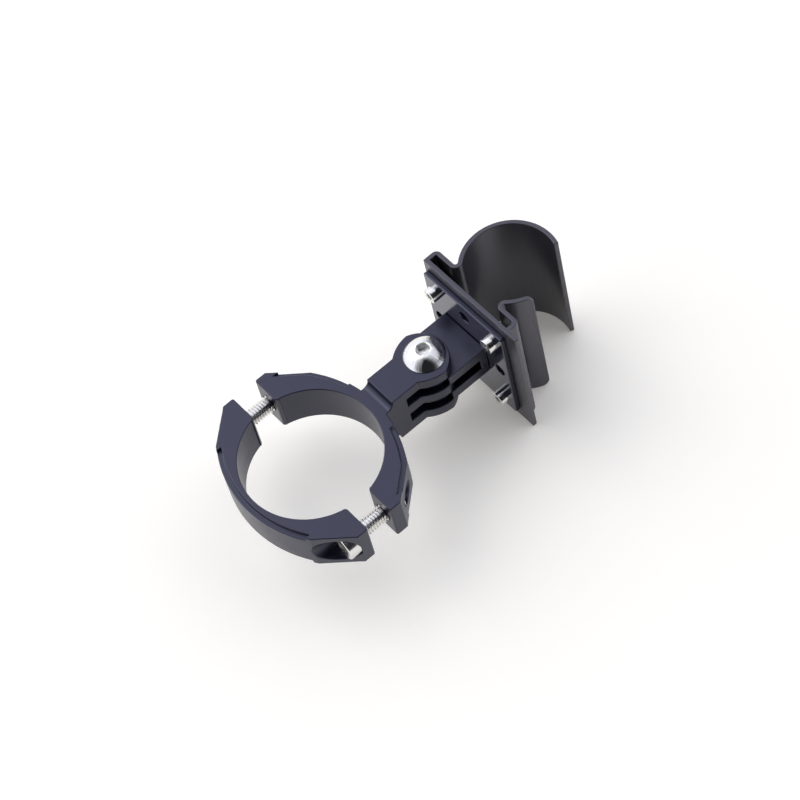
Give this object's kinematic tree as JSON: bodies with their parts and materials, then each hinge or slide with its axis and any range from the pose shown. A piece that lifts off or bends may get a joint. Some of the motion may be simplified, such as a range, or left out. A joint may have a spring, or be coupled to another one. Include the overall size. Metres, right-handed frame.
{
  "type": "handlebar mount",
  "caption": "Two-half bar clamp with a hinged three-prong arm, carrying a backing plate and a sprung C-shaped tube clip.",
  "frame": {"origin": "centre of the bar bore, half way up the clamp", "axes": "+Z along the bar, +X along the arm towards the tube clip"},
  "size_m": [0.0876, 0.046, 0.035],
  "materials": {
    "black_anodised": "satin black anodised",
    "clip_black": "satin black anodised, extruded",
    "bright_steel": "bright stainless"
  },
  "bodies": {
    "saddle": {"clamp_saddle": "black_anodised"},
    "cap": {"clamp_cap": "black_anodised"},
    "left_clamp_screw": {"clamp_screw_left": "bright_steel"},
    "right_clamp_screw": {"clamp_screw_right": "bright_steel"},
    "hinge_screw": {"pivot_screw": "bright_steel"},
    "clip_assembly": {"adapter_bracket": "black_anodised", "backing_plate": "black_anodised", "tube_clip": "clip_black", "plate_screw_1": "bright_steel", "plate_screw_2": "bright_steel", "plate_screw_3": "bright_steel", "plate_screw_4": "bright_steel", "plate_nut_1": "bright_steel", "plate_nut_2": "bright_steel", "plate_nut_3": "bright_steel", "plate_nut_4": "bright_steel", "bracket_screw_left": "bright_steel", "bracket_screw_right": "bright_steel"}
  },
  "joints": [
    {"name": "cap_close", "type": "slide", "parent": "saddle", "child": "cap", "axis": [1, 0, 0], "range_m": [-0.0025, 0.004]},
    {"name": "left_clamp_screw_turn", "type": "hinge", "parent": "cap", "child": "left_clamp_screw", "pos_m": [-0.0087, 0.0194, 0], "axis": [1, 0, 0], "range_deg": [-1290, 2060]},
    {"name": "right_clamp_screw_turn", "type": "hinge", "parent": "cap", "child": "right_clamp_screw", "pos_m": [-0.0087, -0.0194, 0], "axis": [1, 0, 0], "range_deg": [-1290, 2060]},
    {"name": "arm_pivot", "type": "hinge", "parent": "saddle", "child": "clip_assembly", "pos_m": [0.0329, 0, 0], "axis": [0, 0, 1], "range_deg": [-85, 95]},
    {"name": "hinge_screw_turn", "type": "hinge", "parent": "saddle", "child": "hinge_screw", "pos_m": [0.0329, 0, 0], "axis": [0, 0, 1], "range_deg": [0, 720]}
  ],
  "couplings": [
    {"joint": "left_clamp_screw_turn", "follows": "cap_close", "rad_per_m": 8976},
    {"joint": "right_clamp_screw_turn", "follows": "cap_close", "rad_per_m": 8976}
  ]
}
